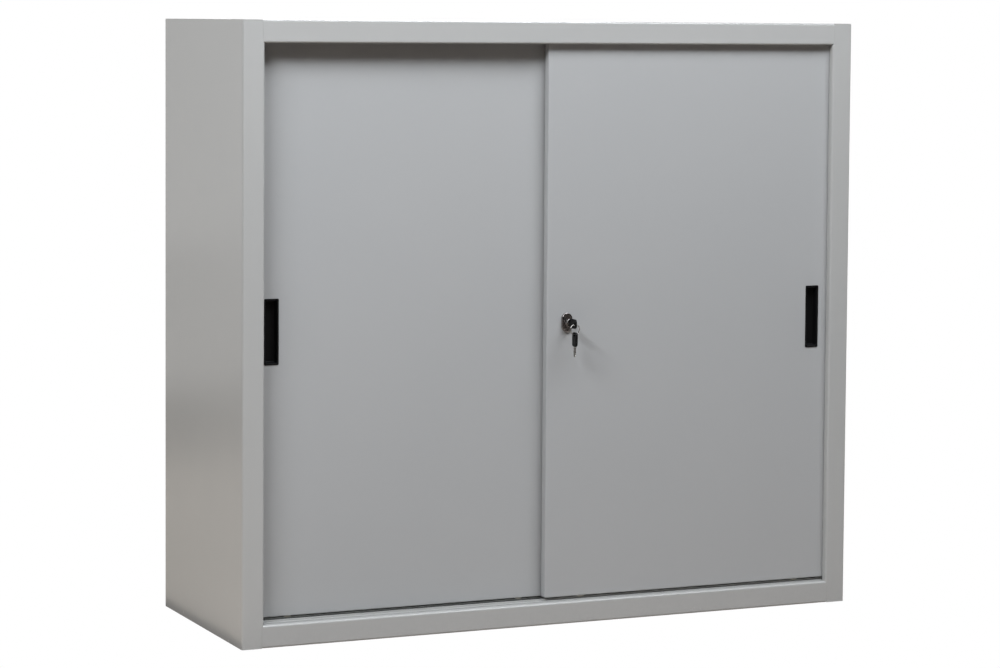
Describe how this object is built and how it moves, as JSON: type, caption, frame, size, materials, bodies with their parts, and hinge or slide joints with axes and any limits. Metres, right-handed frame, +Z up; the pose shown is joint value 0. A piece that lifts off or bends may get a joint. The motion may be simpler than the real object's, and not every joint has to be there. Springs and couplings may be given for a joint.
{
  "type": "sliding door cabinet",
  "caption": "Low sheet-steel storage cabinet with overlapping sliding doors on rollers, recessed pulls, a push lock with keys and adjustable shelves.",
  "frame": {"origin": "centre of the bottom of the box round the whole object, keys included, on the floor", "axes": "+X to the right as seen from the front, +Y from the doors to the back, +Z up"},
  "size_m": [1.2, 0.4666, 1.09],
  "materials": {
    "carcass_paint": "semi-matt light grey powder coat",
    "door_paint": "semi-matt light grey powder coat",
    "zinc": "bright zinc plate",
    "aluminium": "mill-finish extrusion",
    "chrome": "polished chrome plate",
    "nickel": "satin nickel plate",
    "black_plastic": "fine-grained black moulding",
    "nylon": "natural nylon",
    "rubber": "matt black rubber"
  },
  "bodies": {
    "root": {"left_side_panel": "carcass_paint", "right_side_panel": "carcass_paint", "top_panel": "carcass_paint", "base_panel": "carcass_paint", "back_panel": "carcass_paint", "floor_stiffener": "carcass_paint", "top_guide_track": "aluminium", "bottom_track": "carcass_paint", "upright_front_left": "carcass_paint", "upright_front_right": "carcass_paint", "upright_rear_left": "carcass_paint", "upright_rear_right": "carcass_paint", "shelf_clip_lower_front_left": "zinc", "shelf_clip_upper_front_left": "zinc", "shelf_clip_lower_front_right": "zinc", "shelf_clip_upper_front_right": "zinc", "shelf_clip_lower_rear_left": "zinc", "shelf_clip_upper_rear_left": "zinc", "shelf_clip_lower_rear_right": "zinc", "shelf_clip_upper_rear_right": "zinc", "shelf_lower": "carcass_paint", "shelf_upper": "carcass_paint", "buffer_left_front_track": "rubber", "buffer_left_rear_track": "rubber", "buffer_right_front_track": "rubber", "buffer_right_rear_track": "rubber"},
    "left_door": {"left_door_panel": "door_paint", "left_door_stiffener": "door_paint", "left_door_pull": "black_plastic", "left_door_axle_left": "zinc", "left_door_bracket_left": "zinc", "left_door_guide_left": "nylon", "left_door_axle_right": "zinc", "left_door_bracket_right": "zinc", "left_door_guide_right": "nylon"},
    "right_door": {"right_door_panel": "door_paint", "right_door_stiffener": "door_paint", "right_door_pull": "black_plastic", "right_door_axle_left": "zinc", "right_door_bracket_left": "zinc", "right_door_guide_left": "nylon", "right_door_axle_right": "zinc", "right_door_bracket_right": "zinc", "right_door_guide_right": "nylon", "lock_housing": "chrome", "lock_nut": "zinc", "lock_spring": "zinc"},
    "lock_plunger": {"lock_plunger": "chrome", "lock_bolt": "zinc"},
    "lock_plug": {"lock_plug": "nickel"},
    "door_key": {"key_blade": "nickel", "key_bow": "black_plastic"},
    "spare_key": {"key_ring": "nickel", "spare_key_blade": "nickel", "spare_key_bow": "black_plastic"},
    "left_door_wheel_left": {"left_door_roller_left": "nylon"},
    "left_door_wheel_right": {"left_door_roller_right": "nylon"},
    "right_door_wheel_left": {"right_door_roller_left": "nylon"},
    "right_door_wheel_right": {"right_door_roller_right": "nylon"}
  },
  "joints": [
    {"name": "left_door_slide", "type": "slide", "parent": "root", "child": "left_door", "axis": [1, 0, 0], "range_m": [0, 0.5595]},
    {"name": "right_door_slide", "type": "slide", "parent": "root", "child": "right_door", "axis": [-1, 0, 0], "range_m": [0, 0.5595]},
    {"name": "left_door_roller_left_spin", "type": "hinge", "parent": "left_door", "child": "left_door_wheel_left", "pos_m": [-0.502, -0.15865, 0.0532], "axis": [0, 1, 0], "continuous": true},
    {"name": "left_door_roller_right_spin", "type": "hinge", "parent": "left_door", "child": "left_door_wheel_right", "pos_m": [-0.0575, -0.15865, 0.0532], "axis": [0, 1, 0], "continuous": true},
    {"name": "right_door_roller_left_spin", "type": "hinge", "parent": "right_door", "child": "right_door_wheel_left", "pos_m": [0.0575, -0.17965, 0.0532], "axis": [0, 1, 0], "continuous": true},
    {"name": "right_door_roller_right_spin", "type": "hinge", "parent": "right_door", "child": "right_door_wheel_right", "pos_m": [0.502, -0.17965, 0.0532], "axis": [0, 1, 0], "continuous": true},
    {"name": "lock_push", "type": "slide", "parent": "right_door", "child": "lock_plunger", "axis": [0, 1, 0], "range_m": [0, 0.0075], "stiffness_N_per_m": 250, "springref_m": -0.012, "deforming": ["lock_spring"]},
    {"name": "key_turn", "type": "hinge", "parent": "lock_plunger", "child": "lock_plug", "pos_m": [0.0215, -0.20165, 0.548], "axis": [0, -1, 0], "range_deg": [0, 90]},
    {"name": "key_withdraw", "type": "slide", "parent": "lock_plug", "child": "door_key", "axis": [0, -1, 0], "range_m": [0, 0.022]},
    {"name": "spare_key_swing", "type": "hinge", "parent": "door_key", "child": "spare_key", "pos_m": [0.0215, -0.22485, 0.54727], "axis": [1, 0, 0], "range_deg": [-80, 25]}
  ],
  "couplings": [
    {"joint": "left_door_roller_left_spin", "follows": "left_door_slide", "rad_per_m": 117.65},
    {"joint": "left_door_roller_right_spin", "follows": "left_door_slide", "rad_per_m": 117.65},
    {"joint": "right_door_roller_left_spin", "follows": "right_door_slide", "rad_per_m": -117.65},
    {"joint": "right_door_roller_right_spin", "follows": "right_door_slide", "rad_per_m": -117.65}
  ]
}
